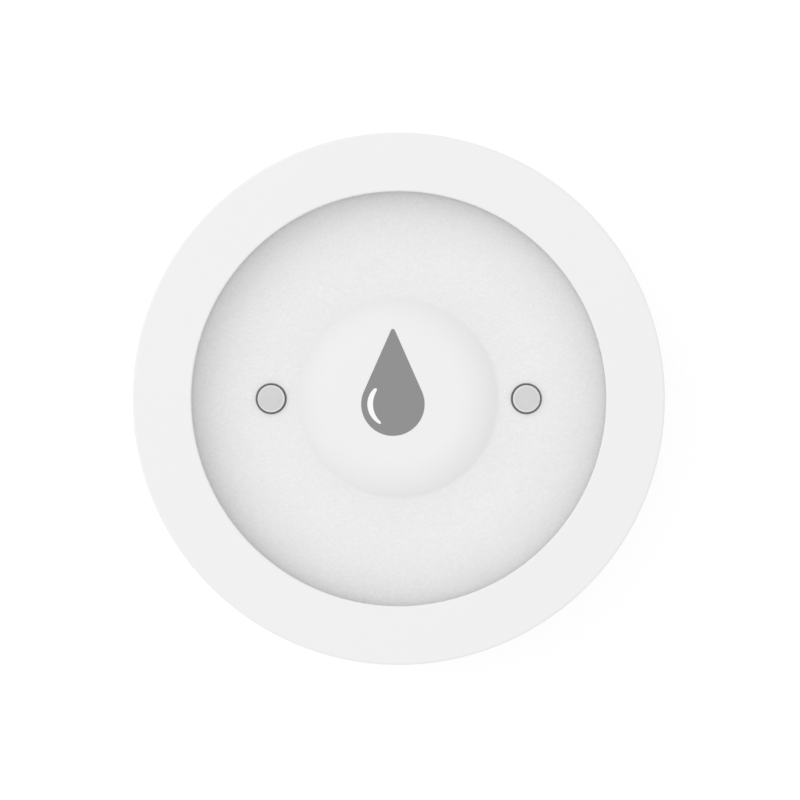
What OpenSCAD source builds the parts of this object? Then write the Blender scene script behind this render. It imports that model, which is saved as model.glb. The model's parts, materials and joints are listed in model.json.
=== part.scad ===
// Water leak sensor: a sealed round puck that lies on the floor.
// Drips land in the dish on top, where two steel contacts sense them.
// Two steel probes under the base sense water on the floor.
// The soft dome in the middle of the dish is the test button.
// +Z is up, +Y is the way the drop sign on the button points, and the origin
// is on the floor under the middle of the case.

/* [Case] */
// Outer diameter of the case
case_d = 65; // [62:0.5:75]
// Height from the floor to the flat ring on top
case_h = 21.6; // [20:0.2:26]
// Thickness of the side wall
wall_t = 2; // [1.6:0.1:2.4]
// Width of the flat ring round the dish
ring_w = 7.15; // [6.9:0.05:9]
// Thickness of the flat ring
ring_t = 1.8; // [1.4:0.1:2]
// Thickness of the ring's lip, which covers the edge of the dish
lip_t = 0.6; // [0.4:0.1:0.8]
// Rounding of the ring's outer edge
rim_round = 0.3; // [0.2:0.1:1]
// Rounding of the lip
lip_round = 0.2; // [0.1:0.05:0.3]
// Height of the seam between base plate and shell
seam_gap = 0.2; // [0.1:0.05:0.4]
// Rounding of the two edges at the seam
seam_round = 0.2; // [0.1:0.05:0.3]

/* [Base plate] */
// Thickness of the base plate
base_t = 2; // [1.8:0.1:2.6]
// Rounding of the base plate's lower edge
base_round = 1.2; // [0.4:0.1:1.2]
// Height of the rib that centres the shell on the base plate
locating_rib_h = 1.8; // [1:0.1:3]
// Thickness of that rib
locating_rib_t = 0.8; // [0.6:0.1:1]
// Height of the stiffening ribs on the base plate
stiffener_h = 1; // [0.6:0.1:1.4]
// Thickness of the stiffening ribs
stiffener_t = 1; // [0.8:0.1:1.4]
// Diameter of the rubber feet
foot_d = 8; // [6:0.5:9]
// Height of the feet below the base plate
foot_lift = 0.8; // [0.5:0.1:1.5]
// Depth of the feet's pockets in the base plate
foot_pocket = 0.5; // [0.3:0.1:0.8]
// Rounding of the feet's lower edge
foot_round = 0.3; // [0.1:0.05:0.4]
// Distance of the feet from the base plate's rounded edge
foot_margin = 1.3; // [0.5:0.1:3]
// Width of the seal between base plate and shell
case_seal_w = 0.8; // [0.6:0.1:1]
// Depth of the seal's groove in the base plate
case_seal_depth = 0.8; // [0.5:0.1:1]

/* [Drip dish] */
// Depth of the dish floor below the flat ring
dish_depth = 4; // [2.1:0.1:4.6]
// Thickness of the dish floor
dish_t = 1.4; // [1.2:0.1:1.8]
// Reach of the ring's lip over the dish's wall
lip_over = 0.7; // [0.4:0.1:0.8]
// Thickness of the dish's wall
dish_wall_t = 0.7; // [0.6:0.1:0.8]
// Rounding between the dish's floor and wall
dish_fillet = 0.4; // [0.2:0.1:1]
// Thickness of the dish's flange under the ring
flange_t = 1.2; // [1:0.1:1.6]
// Gap between that flange and the side wall
flange_gap = 0.7; // [0.4:0.1:1]

/* [Button] */
// Diameter of the soft dome
dome_d = 24.6; // [22:0.1:24.8]
// Diameter of the dome's flat top
dome_flat_d = 17.6; // [16:0.1:19]
// Height of the dome above the dish floor
dome_rise = 1.5; // [0.9:0.05:1.6]
// Thickness of the dome's skin
dome_t = 0.9; // [0.7:0.05:1.1]
// Thickness of the dome's neck inside the dish floor
dome_neck_t = 0.7; // [0.5:0.05:0.9]
// Width of the dome's flange beyond its neck
dome_flange_w = 0.6; // [0.4:0.05:0.7]
// Thickness of that flange
dome_flange_t = 0.8; // [0.6:0.05:1]
// Travel of the button
button_travel = 0.3; // [0.2:0.05:0.4]
// Diameter of the plunger's pad under the dome
pad_d = 15; // [10:0.5:15.5]
// Thickness of the pad
pad_t = 0.9; // [0.7:0.05:1.1]
// Rounding of the plunger's edges
plunger_round = 0.2; // [0.1:0.05:0.3]
// Diameter of the plunger's stem
stem_d = 5; // [4:0.1:6]
// Thickness of the guide plate that clamps the dome
guide_t = 1.2; // [1:0.1:1.5]
// Wall of the guide plate's collar round the stem
guide_collar_t = 1.4; // [1:0.1:2]
// Reach of the guide plate's ears beyond the plate
guide_ear_reach = 1.6; // [1.5:0.1:2]
// Diameter of the guide plate's ears
guide_ear_d = 4; // [3.4:0.1:4.4]

/* [Drip contacts] */
// Distance between the two drip contacts
contact_pitch = 31.5; // [31.2:0.1:36]
// Diameter of a contact's head
contact_head_d = 3.36; // [3:0.02:3.6]
// Height of a contact's head above the dish floor
contact_proud = 0.5; // [0.3:0.05:0.8]
// Depth of a contact's seat in the dish floor
contact_seat = 0.7; // [0.5:0.05:0.9]
// Width of the bevel round a contact's head
contact_bevel = 0.2; // [0.1:0.05:0.25]
// Height of that bevel
contact_bevel_h = 0.1; // [0.05:0.05:0.25]
// Diameter of a contact's shank
contact_shank_d = 2.2; // [1.8:0.05:2.4]
// Width of the dark seal round a contact's head
contact_seal_w = 0.2; // [0.16:0.02:0.3]
// Depth of the seal below the dish floor
contact_seal_drop = 0.15; // [0.05:0.05:0.3]
// Height of the boss under the dish at a contact
contact_boss_h = 1.2; // [0.8:0.1:1.5]
// Diameter of that boss
contact_boss_d = 5.2; // [4.8:0.1:5.4]

/* [Floor probes] */
// Diameter of a probe's head
probe_head_d = 4.4; // [3.6:0.1:4.8]
// Thickness of a probe's head
probe_head_t = 1; // [0.8:0.05:1.2]
// Height of a probe's head above the floor
probe_lift = 0.25; // [0.15:0.05:0.4]
// Bevel round a probe's head
probe_bevel = 0.3; // [0.1:0.05:0.4]
// Diameter of a probe's shank
probe_shank_d = 2.4; // [2:0.05:2.5]
// Width of the seal round a probe's shank
probe_seal_w = 0.6; // [0.4:0.05:0.7]
// Height of the seal round a probe's shank
probe_seal_h = 0.6; // [0.4:0.05:0.7]
// Diameter of the boss round a probe inside the base plate
probe_boss_d = 6; // [5.4:0.1:6.4]
// Height of that boss
probe_boss_h = 0.8; // [0.5:0.1:1.2]
// Gap between that boss and the collar of the battery door
probe_boss_gap = 0.6; // [0.3:0.1:2]

/* [Nuts and springs] */
// Width across flats of the nuts on contacts and probes
nut_flats = 4; // [3.6:0.1:4.2]
// Thickness of those nuts
nut_t = 1.6; // [1.2:0.1:1.8]
// Length of shank beyond its nut
shank_end = 0.4; // [0.2:0.1:0.8]
// Wire diameter of the springs between nuts and board
spring_wire = 0.36; // [0.3:0.02:0.4]
// Gap between a shank and its spring
spring_gap = 0.25; // [0.2:0.05:0.3]
// Number of turns of a spring
spring_turns = 3; // [2:1:4]

/* [Circuit board] */
// Diameter of the board
board_d = 49; // [48:0.5:50]
// Thickness of the board
board_t = 1.2; // [1:0.1:1.6]
// Distance of the board's screws from its edge
board_screw_inset = 4.5; // [4:0.1:5]
// Diameter of the bosses that carry the board
board_boss_d = 4.2; // [4:0.1:4.6]
// Width of the switch
switch_w = 5.2; // [4.8:0.1:6]
// Height of the switch's base
switch_h = 1.5; // [1.3:0.1:1.8]
// Height of the switch's cap above its base
switch_cap_h = 0.5; // [0.4:0.05:0.7]
// Diameter of the switch's cap
switch_cap_d = 3; // [2.4:0.1:3.4]
// Depth of the cap inside the switch's base
switch_cap_sink = 0.6; // [0.4:0.05:0.75]
// Width of the switch's legs, and their reach beyond its base
switch_leg = 0.7; // [0.5:0.05:0.9]
// Distance between the legs on one side of the switch
switch_leg_pitch = 3.2; // [2.6:0.1:3.8]
// Width of the radio module
radio_w = 12; // [10:0.5:13]
// Length of the radio module
radio_l = 16; // [14:0.5:17]
// Thickness of the radio module's own board
radio_t = 0.6; // [0.5:0.1:1]
// Height of the radio's shield
shield_h = 1.1; // [0.9:0.1:1.6]
// Thickness of the shield's sheet
shield_sheet = 0.2; // [0.15:0.05:0.3]
// Length of bare radio board beyond the shield, for the aerial
aerial_l = 4.5; // [3.5:0.5:5]
// Distance of the radio module from the board's edge
radio_inset = 2; // [1.6:0.1:2.5]
// Width of the bare edge of the radio board round the shield
shield_edge = 1; // [0.6:0.1:1.4]
// Radius of the solder notches in the radio board's edges
notch_r = 0.35; // [0.2:0.05:0.45]
// Distance between two notches
notch_pitch = 1.5; // [1.2:0.1:1.7]
// Number of notches in one edge
notch_count = 6; // [4:1:7]
// Width of the status light
led_w = 2.8; // [2.4:0.1:3.2]
// Height of the status light's package
led_body_h = 0.7; // [0.5:0.05:0.9]
// Diameter of the status light's lens
led_lens_d = 2.2; // [1.6:0.1:2.3]
// Height of the lens above its package
led_lens_h = 0.3; // [0.1:0.05:0.5]
// Distance of the status light from the middle of the board
led_distance = 10.5; // [9.5:0.1:11]

/* [Battery] */
// Diameter of the coin cell
cell_d = 20; // [19:0.1:20.5]
// Thickness of the coin cell
cell_h = 3.2; // [2.5:0.1:3.6]
// Gap between coin cell and holder
cell_gap = 0.25; // [0.15:0.05:0.4]
// Width of the step round the cell's cap
cell_step_w = 1.2; // [0.8:0.1:1.6]
// Height of that step
cell_step_h = 0.4; // [0.2:0.05:0.6]
// Rounding of the cell's lower edge
cell_round = 0.4; // [0.2:0.05:0.6]
// Wall of the cell holder
holder_t = 1.1; // [0.8:0.1:1.2]
// Height of the holder's lower edge above the cell's lower face
holder_lift = 1.1; // [0.8:0.1:1.6]
// Height left between coin cell and board for the spring
cell_spring_h = 0.9; // [0.7:0.05:1.2]
// Thickness of the spring sheet
sheet_t = 0.25; // [0.2:0.05:0.3]
// Diameter of the spring's hub on the board
spring_hub_d = 5.5; // [5:0.1:6.5]
// Distance of a finger's tip from the middle of the spring
finger_reach = 7.5; // [6.5:0.1:8]
// Width of a finger
finger_w = 2.2; // [1.6:0.1:2.4]
// Length of a finger's flat tip
finger_tip = 0.8; // [0.6:0.1:1.4]
// Width of the clip at the cell's side
clip_w = 3.2; // [2.5:0.1:4]
// Length of the clip's foot on the board
clip_foot = 2.4; // [1.8:0.1:3]
// Gap between the clip's sides and the holder
clip_gap = 0.5; // [0.3:0.1:1]

/* [Battery door] */
// Thickness of the door's flange
door_t = 1.5; // [1.3:0.1:2]
// Depth of the door's face below the base plate's underside
door_sink = 0.3; // [0.1:0.1:0.6]
// Gap all round the door
door_gap = 0.2; // [0.1:0.05:0.3]
// Gap between the door's flange and its seat
door_seat_gap = 0.1; // [0.05:0.05:0.2]
// Thickness of the door's seal
door_seal_d = 0.9; // [0.7:0.05:1]
// Land between the door's seal and the walls on both sides of it
door_seal_land = 0.25; // [0.2:0.05:0.4]
// Wall of the collar round the door
collar_t = 1.2; // [1:0.1:1.6]
// Thickness of the ledge that the bayonet lugs lock behind
ledge_t = 1.2; // [1:0.1:1.6]
// Number of bayonet lugs
lug_count = 3; // [2:1:3]
// Width of a lug, in degrees
lug_angle = 26; // [18:1:28]
// Reach of a lug beyond the door's plug
lug_reach = 1.4; // [1.2:0.1:1.8]
// Thickness of a lug
lug_t = 0.8; // [0.6:0.05:1.1]
// Turn between locked and open, in degrees
door_turn = 30; // [28:1:34]
// Width of the coin slot
slot_w = 2; // [1.8:0.1:2.6]
// Length of the coin slot
slot_l = 16; // [12:0.5:18]
// Depth of the coin slot
slot_depth = 1; // [0.7:0.1:1.2]
// Depth of the hollow inside the door's plug
plug_hollow = 1; // [0.5:0.1:1.2]
// Wall round that hollow
plug_wall = 2.4; // [1.5:0.1:3]

/* [Screws and stakes] */
// Diameter of the bosses for the case screws
case_boss_d = 4; // [3.6:0.1:4.2]
// Land between those bosses and the seal under the side wall
case_boss_land = 0.1; // [0.05:0.05:0.3]
// Diameter of the case screws
case_screw_d = 1.9; // [1.6:0.1:2]
// Length of the case screws below their heads
case_screw_l = 9; // [6:0.5:11]
// Diameter of the screw heads
screw_head_d = 3.4; // [3:0.1:3.6]
// Thickness of the screw heads
screw_head_t = 1; // [0.8:0.05:1.1]
// Rounding of the screw heads' edges
screw_head_round = 0.5; // [0.3:0.05:0.7]
// Length of the cross recess in a screw head
recess_l = 2; // [1.6:0.1:2.2]
// Width of the cross recess
recess_w = 0.55; // [0.4:0.05:0.7]
// Depth of the cross recess
recess_depth = 0.5; // [0.3:0.05:0.6]
// Diameter of the board screws
board_screw_d = 1.9; // [1.6:0.1:2]
// Length of the board screws below their heads
board_screw_l = 5; // [4:0.5:6]
// Diameter of the heat-staked posts
stake_d = 1.5; // [1.2:0.1:1.8]
// Diameter of their melted heads
stake_head_d = 2.6; // [2.2:0.1:2.8]
// Thickness of their melted heads
stake_head_t = 0.5; // [0.4:0.05:0.8]

/* [Clearances] */
// Gap round a stem that slides in its guide
running_gap = 0.05; // [0.03:0.01:0.1]
// Gap round a piece that is held still
loose_gap = 0.1; // [0.05:0.01:0.2]
// Gap round a thread or a pressed ring
close_gap = 0.03; // [0.02:0.01:0.05]
// Room left when the button reaches its stop
stop_gap = 0.1; // [0.05:0.05:0.2]

/* [Hidden] */
$fn = 72;

// How far a cut runs past the face that it opens
over = 0.2;

// Radii of the case and the dish
case_r = case_d / 2;
inner_r = case_r - wall_t;
case_seal_r = case_r - wall_t / 2;
dish_r = case_r - ring_w;
dish_wall_r = dish_r + lip_over;
dish_rim_r = dish_wall_r + dish_wall_t;
flange_r = inner_r - flange_gap;

// Levels from the floor up
base_z = foot_lift;
base_top = base_z + base_t;
shell_z = base_top + seam_gap;
door_face = base_z + door_sink;
door_flange_top = door_face + door_t;
ledge_z = door_flange_top + door_seat_gap;
ledge_top = ledge_z + ledge_t;
lug_z = ledge_top + loose_gap;
plug_top = lug_z + lug_t;
cell_z = plug_top + loose_gap;
cell_top = cell_z + cell_h;
board_z = cell_top + cell_spring_h;
board_top = board_z + board_t;
switch_top = board_top + switch_h;
switch_cap_top = switch_top + switch_cap_h;

// Levels from the top down
ring_under = case_h - ring_t;
lip_under = case_h - lip_t;
dish_z = case_h - dish_depth;
dish_under = dish_z - dish_t;
flange_under = ring_under - flange_t;
guide_top = dish_under - dome_flange_t;
guide_under = guide_top - guide_t;
dome_top = dish_z + dome_rise;
pad_top = dome_top - dome_t;
pad_under = pad_top - pad_t;
collar_top = pad_under - button_travel - stop_gap;

// The dome: a flat top and a shoulder that ends in a crease on the dish floor
dome_r = dome_d / 2;
dome_flat_r = dome_flat_d / 2;
shoulder_w = dome_r - dome_flat_r;
shoulder_r = (shoulder_w ^ 2 + dome_rise ^ 2) / (2 * dome_rise);
neck_r = dome_r - close_gap;
neck_inner_r = neck_r - dome_neck_t;
guide_r = dome_r + dome_flange_w;

// Angles of what stands in threes
screw_angles = [90, 210, 330];
between_angles = [30, 150, 270];
ear_circle = guide_r + guide_ear_reach;
board_r = board_d / 2;
board_screw_circle = board_r - board_screw_inset;
case_boss_r = case_boss_d / 2;
case_boss_circle = case_seal_r - case_seal_w / 2 - case_boss_land - case_boss_r;
stake_circle = (dish_rim_r + flange_r) / 2;
stake_spread = 18;
stake_angles = [for (a = between_angles, s = [-1, 1]) a + s * stake_spread];
foot_circle = case_r - base_round - foot_margin - foot_d / 2;

// Contacts
contact_x = contact_pitch / 2;
contact_seat_z = dish_z - contact_seat;
contact_top = dish_z + contact_proud;
contact_hole_r = contact_head_d / 2 + contact_seal_w;
contact_boss_z = dish_under - contact_boss_h;
contact_nut_z = contact_boss_z - nut_t;

// The battery door, from the coin cell outwards
cell_r = cell_d / 2;
holder_r = cell_r + cell_gap;
holder_outer_r = holder_r + holder_t;
plug_r = holder_outer_r;
throat_r = plug_r + door_gap;
lug_r = plug_r + lug_reach;
entry_r = lug_r + door_gap;
door_seal_r = entry_r + door_seal_land + door_seal_d / 2;
door_r = door_seal_r + door_seal_d / 2 + door_seal_land;
door_hole_r = door_r + door_gap;
collar_r = door_hole_r + collar_t;
door_groove = door_seal_d - door_seat_gap + close_gap;
lug_step = 360 / lug_count;
lug_start = 90;
entry_margin = 1.5;
stop_land = 0.5;
stop_margin = entry_margin + stop_land;
stop_width = 4;

// Floor probes
probe_boss_r = probe_boss_d / 2;
probe_x = collar_r + probe_boss_gap + probe_boss_r;
probe_seat_z = probe_lift + probe_head_t;
probe_seal_z = probe_seat_z + probe_seal_h;
probe_nut_z = base_top + probe_boss_h;
probe_seal_r = probe_shank_d / 2 + probe_seal_w;

// The radio module, at the edge of the board
radio_y = board_r - radio_inset - radio_l / 2;
shield_y = radio_y - aerial_l / 2;

// A disc, a ring and a piece of a ring between two levels
module disc(r, z0, z1) translate([0, 0, z0]) cylinder(r = r, h = z1 - z0);

module ring(r_out, r_in, z0, z1) difference() {
  disc(r_out, z0, z1);
  disc(r_in, z0 - over, z1 + over);
}

module arc(r_in, r_out, z0, z1, from, to)
  rotate([0, 0, from]) rotate_extrude(angle = to - from)
    translate([r_in, z0]) square([r_out - r_in, z1 - z0]);

// A rectangle in a profile, from one corner to the other
module area(r0, z0, r1, z1) translate([r0, z0]) square([r1 - r0, z1 - z0]);

// What rounding takes off a profile's corner; sx and sy point out of the solid
module corner_trim(r, z, radius, sx, sy) translate([r, z]) difference() {
  translate([sx > 0 ? -radius : -over, sy > 0 ? -radius : -over]) square(radius + over);
  translate([-sx * radius, -sy * radius]) circle(radius);
}

// Places a copy of its children on a circle, at each angle
module around(radius, angles) for (a = angles) rotate([0, 0, a]) translate([radius, 0, 0]) children();

// A pan head screw with its head's top at level z, pointing up
module screw_up(d, l, z) difference() {
  union() {
    rotate_extrude() difference() {
      area(0, z, screw_head_d / 2, z + screw_head_t);
      corner_trim(screw_head_d / 2, z, screw_head_round, 1, -1);
    }
    disc(d / 2, z + screw_head_t - over, z + screw_head_t + l);
  }
  for (turn = [0, 90]) rotate([0, 0, turn])
    translate([0, 0, z]) cube([recess_l, recess_w, 2 * recess_depth], center = true);
}

// A hexagon nut between two levels
module hex_nut(shank_d, z0, z1) difference() {
  translate([0, 0, z0]) cylinder(d = nut_flats / cos(30), h = z1 - z0, $fn = 6);
  disc(shank_d / 2 + close_gap, z0 - over, z1 + over);
}

// A helical spring: one unbroken wire of six sides, with eight rings a turn
spring_sides = 6;
spring_rings = 8;

function spring_centre(mean_r, z0, rise, turns, i) =
  let (share = i / (turns * spring_rings))
  [mean_r * cos(360 * turns * share), mean_r * sin(360 * turns * share), z0 + rise * share];

function spring_ring(mean_r, z0, rise, turns, i) =
  let (a = 360 * i / spring_rings, c = spring_centre(mean_r, z0, rise, turns, i))
  [for (k = [0 : spring_sides - 1])
    let (b = 360 * k / spring_sides, out = spring_wire / 2 * cos(b))
    c + [out * cos(a), out * sin(a), spring_wire / 2 * sin(b)]];

module helix_spring(shank_d, z0, z1) {
  mean_r = shank_d / 2 + spring_gap + spring_wire / 2;
  rise = z1 - z0 - spring_wire;
  last = spring_turns * spring_rings;
  points = [for (i = [0 : last]) each spring_ring(mean_r, z0 + spring_wire / 2, rise, spring_turns, i)];
  sides = [for (i = [0 : last - 1], k = [0 : spring_sides - 1])
    let (a = i * spring_sides + k, b = i * spring_sides + (k + 1) % spring_sides)
    each [[a, a + spring_sides, b], [b, a + spring_sides, b + spring_sides]]];
  tail = last * spring_sides;
  start = [for (k = [1 : spring_sides - 2]) [0, k, k + 1]];
  end = [for (k = [1 : spring_sides - 2]) [tail, tail + k + 1, tail + k]];
  polyhedron(points, concat(sides, start, end));
  centres = [for (i = [0 : last]) spring_centre(mean_r, z0, rise, spring_turns, i)];
  steps = [for (i = [0 : last], j = [0 : last]) if (j - i > spring_rings / 2) norm(centres[j] - centres[i])];
  echo(str("least gap between the turns of a spring: ", min(steps) - spring_wire, " mm"));
}

// Shell: side wall, flat ring and the lip over the dish, with screw bosses and stakes inside
module top_shell() color("white") difference() {
  union() {
    rotate_extrude() difference() {
      area(dish_r, shell_z, case_r, case_h);
      area(dish_r - over, shell_z - over, inner_r, ring_under);
      area(dish_r - over, ring_under - over, dish_rim_r + loose_gap, lip_under);
      corner_trim(case_r, case_h, rim_round, 1, 1);
      corner_trim(dish_r, case_h, lip_round, -1, 1);
      corner_trim(case_r, shell_z, seam_round, 1, -1);
    }
    around(case_boss_circle, screw_angles) disc(case_boss_r, base_top, ring_under + over);
    around(stake_circle, stake_angles) {
      disc(stake_d / 2, flange_under - stake_head_t, ring_under + over);
      disc(stake_head_d / 2, flange_under - stake_head_t, flange_under);
    }
  }
  around(case_boss_circle, screw_angles)
    disc(case_screw_d / 2 + close_gap, base_top - over, base_top + case_screw_l);
}

// Dish: wall under the lip, grained floor, flange under the ring, bosses for contacts and board
module drip_dish() color("whitesmoke") difference() {
  union() {
    rotate_extrude() difference() {
      union() {
        area(0, dish_under, dish_rim_r, lip_under);
        area(dish_rim_r - over, flange_under, flange_r, ring_under);
      }
      difference() {
        area(-over, dish_z, dish_wall_r, case_h);
        corner_trim(dish_wall_r, dish_z, dish_fillet, 1, -1);
      }
    }
    for (side = [-1, 1]) translate([side * contact_x, 0, 0])
      disc(contact_boss_d / 2, contact_boss_z, dish_under + over);
    around(board_screw_circle, between_angles) disc(board_boss_d / 2, board_top, dish_under + over);
    around(ear_circle, between_angles) {
      disc(stake_d / 2, guide_under - stake_head_t, dish_under + over);
      disc(stake_head_d / 2, guide_under - stake_head_t, guide_under);
    }
  }
  disc(dome_r, dish_under - over, dish_z + over);
  for (side = [-1, 1]) translate([side * contact_x, 0, 0]) {
    disc(contact_hole_r, contact_seat_z, dish_z + over);
    disc(contact_shank_d / 2 + close_gap, contact_boss_z - over, dish_z);
  }
  around(board_screw_circle, between_angles)
    disc(board_screw_d / 2 + close_gap, board_top - over, board_z + board_screw_l);
  around(case_boss_circle, screw_angles)
    disc(case_boss_r + loose_gap, flange_under - over, ring_under + over);
  around(stake_circle, stake_angles) disc(stake_d / 2 + loose_gap, flange_under - over, ring_under + over);
}

// Space under the dome's surface, lowered by inset, out to a radius and down to a level
module dome_area(inset, r, z) {
  area(0, z, dome_flat_r, dome_top - inset);
  intersection() {
    translate([dome_flat_r, dome_top - shoulder_r]) circle(shoulder_r - inset);
    area(dome_flat_r - shoulder_w / 2, z, r, dome_top);
  }
}

// Soft dome: skin, neck through the dish floor and the flange that is clamped under it
module button_dome() color("white") rotate_extrude() difference() {
  union() {
    dome_area(0, neck_r, dish_under);
    area(0, guide_top, guide_r, dish_under);
  }
  dome_area(dome_t, neck_inner_r, guide_top - over);
}

// Clear plate that clamps the dome's flange, guides the plunger and spreads the light
module button_guide() color("lightcyan") difference() {
  union() {
    translate([0, 0, guide_under]) linear_extrude(guide_t) {
      circle(guide_r);
      for (a = between_angles) rotate(a) {
        translate([guide_r / 2, -guide_ear_d / 2]) square([ear_circle - guide_r / 2, guide_ear_d]);
        translate([ear_circle, 0]) circle(d = guide_ear_d);
      }
    }
    disc(stem_d / 2 + running_gap + guide_collar_t, guide_top - over, collar_top);
  }
  disc(stem_d / 2 + running_gap, guide_under - over, collar_top + over);
  around(ear_circle, between_angles) disc(stake_d / 2 + loose_gap, guide_under - over, guide_top + over);
}

// Plunger: the pad under the dome and the stem that reaches the switch
module button_plunger() color("gainsboro") rotate_extrude() difference() {
  union() {
    area(0, pad_under, pad_d / 2, pad_top);
    area(0, switch_cap_top, stem_d / 2, pad_top);
  }
  corner_trim(pad_d / 2, pad_top, plunger_round, 1, 1);
  corner_trim(pad_d / 2, pad_under, plunger_round, 1, -1);
  corner_trim(stem_d / 2, switch_cap_top, plunger_round, 1, -1);
}

// Switch: base with the well that its cap slides in, and four legs
switch_well_r = switch_cap_d / 2 + running_gap;
switch_cap_z = switch_top - switch_cap_sink;

module switch_base() color("dimgray") difference() {
  union() {
    translate([-switch_w / 2, -switch_w / 2, board_top]) cube([switch_w, switch_w, switch_h]);
    for (sx = [-1, 1], sy = [-1, 1])
      translate([sx * switch_w / 2, sy * switch_leg_pitch / 2, board_top + sheet_t / 2])
        cube([2 * switch_leg, switch_leg, sheet_t], center = true);
  }
  disc(switch_well_r, switch_cap_z - button_travel - stop_gap, switch_top + over);
}

// Moving cap of the switch
module switch_cap() color("black") disc(switch_cap_d / 2, switch_cap_z, switch_cap_top);

// Contact: bevelled head in the dish, shank down to its nut and spring
module drip_contact(side) color("silver") translate([side * contact_x, 0, 0]) rotate_extrude() polygon([
  [0, contact_top],
  [contact_head_d / 2 - contact_bevel, contact_top],
  [contact_head_d / 2, contact_top - contact_bevel_h],
  [contact_head_d / 2, contact_seat_z],
  [contact_shank_d / 2, contact_seat_z],
  [contact_shank_d / 2, contact_nut_z - shank_end],
  [0, contact_nut_z - shank_end]
]);

module drip_contact_left() drip_contact(-1);
module drip_contact_right() drip_contact(1);

// Dark seal rings round the contact heads
module contact_seals() color("dimgray") for (side = [-1, 1]) translate([side * contact_x, 0, 0])
  ring(contact_hole_r - close_gap, contact_head_d / 2 + close_gap,
    contact_seat_z, dish_z - contact_seal_drop);

module contact_nuts() color("goldenrod") for (side = [-1, 1]) translate([side * contact_x, 0, 0])
  hex_nut(contact_shank_d, contact_nut_z, contact_boss_z);

module contact_springs() color("silver") for (side = [-1, 1]) translate([side * contact_x, 0, 0])
  helix_spring(contact_shank_d, board_top, contact_nut_z);

// Round board with its screw holes
module circuit_board() color("seagreen") difference() {
  disc(board_r, board_z, board_top);
  around(board_screw_circle, between_angles)
    disc(board_screw_d / 2 + loose_gap, board_z - over, board_top + over);
}

// Radio module: small board with solder notches along its two long edges
module radio_module() color("darkgreen") difference() {
  translate([-radio_w / 2, radio_y - radio_l / 2, board_top]) cube([radio_w, radio_l, radio_t]);
  for (side = [-1, 1], i = [0 : notch_count - 1])
    translate([side * radio_w / 2, shield_y + (i - (notch_count - 1) / 2) * notch_pitch, 0])
      disc(notch_r, board_top - over, board_top + radio_t + over);
}

// Sheet can over the radio's chips, open below
module radio_shield() color("silver") {
  w = radio_w - 2 * shield_edge;
  l = radio_l - aerial_l - 2 * shield_edge;
  z = board_top + radio_t;
  translate([0, shield_y, z]) difference() {
    translate([-w / 2, -l / 2, 0]) cube([w, l, shield_h]);
    translate([-w / 2 + shield_sheet, -l / 2 + shield_sheet, -over])
      cube([w - 2 * shield_sheet, l - 2 * shield_sheet, shield_h - shield_sheet + over]);
  }
}

// Chips on the board: width, length, height and place of each
chips = [
  [5, 4, 1.4, -8, -9],
  [3, 3, 0.9, 6.5, -8],
  [3.2, 1.6, 1.2, 8, -14],
  [2, 1.2, 0.8, -7, -15],
  [2, 1.2, 0.8, 12, -10]
];

module board_chips() color("black") for (c = chips)
  translate([c[3] - c[0] / 2, c[4] - c[1] / 2, board_top]) cube([c[0], c[1], c[2]]);

// Status light: a square package with a round lens
led_place = 25;

module status_led() color("ivory") around(led_distance, [led_place]) {
  translate([-led_w / 2, -led_w / 2, board_top]) cube([led_w, led_w, led_body_h]);
  disc(led_lens_d / 2, board_top + led_body_h - over, board_top + led_body_h + led_lens_h);
}

module board_screws() color("silver") around(board_screw_circle, between_angles)
  screw_up(board_screw_d, board_screw_l, board_z - screw_head_t);

// Holder: a ring round the coin cell, open where the clip stands
clip_place = 225;
holder_z = cell_z + holder_lift;

module cell_holder() color("black") difference() {
  ring(holder_outer_r, holder_r, holder_z, board_z);
  rotate([0, 0, clip_place]) translate([0, -clip_w / 2 - clip_gap, holder_z - over])
    cube([holder_outer_r + over, clip_w + 2 * clip_gap, board_z - holder_z + 2 * over]);
}

// Coin cell: a can with a smaller cap that faces the board
module coin_cell() color("lightgray") rotate_extrude() difference() {
  area(0, cell_z, cell_r, cell_top);
  area(cell_r - cell_step_w, cell_top - cell_step_h, cell_r + over, cell_top + over);
  corner_trim(cell_r, cell_z, cell_round, 1, -1);
}

// Spring on the board: a small hub with sprung fingers that press on the cell's cap.
// A finger is thinner at its root, which lies inside the hub's sheet.
finger_root_r = spring_hub_d / 2 - finger_tip;
finger_root_inset = sheet_t / 4;

module cell_spring() color("gold") {
  disc(spring_hub_d / 2, board_z - sheet_t, board_z);
  around(0, between_angles) rotate([90, 0, 0]) linear_extrude(finger_w, center = true) polygon([
    [finger_root_r, board_z - finger_root_inset],
    [finger_root_r, board_z - sheet_t + finger_root_inset],
    [finger_reach - finger_tip, cell_top],
    [finger_reach, cell_top],
    [finger_reach, cell_top + sheet_t],
    [finger_reach - finger_tip, cell_top + sheet_t]
  ]);
}

// Clip at the cell's side: a foot on the board and a leaf that lies along the can
module cell_clip() color("gold") rotate([0, 0, clip_place]) rotate([90, 0, 0])
  linear_extrude(clip_w, center = true) polygon([
    [cell_r + close_gap, board_z],
    [cell_r + close_gap, holder_z],
    [cell_r + close_gap + sheet_t, holder_z],
    [cell_r + close_gap + sheet_t, board_z - sheet_t],
    [cell_r + close_gap + clip_foot, board_z - sheet_t],
    [cell_r + close_gap + clip_foot, board_z]
  ]);

// Base plate: closes the shell, carries feet, probes and the bayonet collar of the battery door
stiffener_angles = [60, 120, 240, 300];
locating_r = inner_r - loose_gap;

// Block on the ledge that stops a lug at one end of the door's turn
module door_stop(from) arc(throat_r - over, entry_r, ledge_top - over, plug_top, from, from + stop_width);

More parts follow.
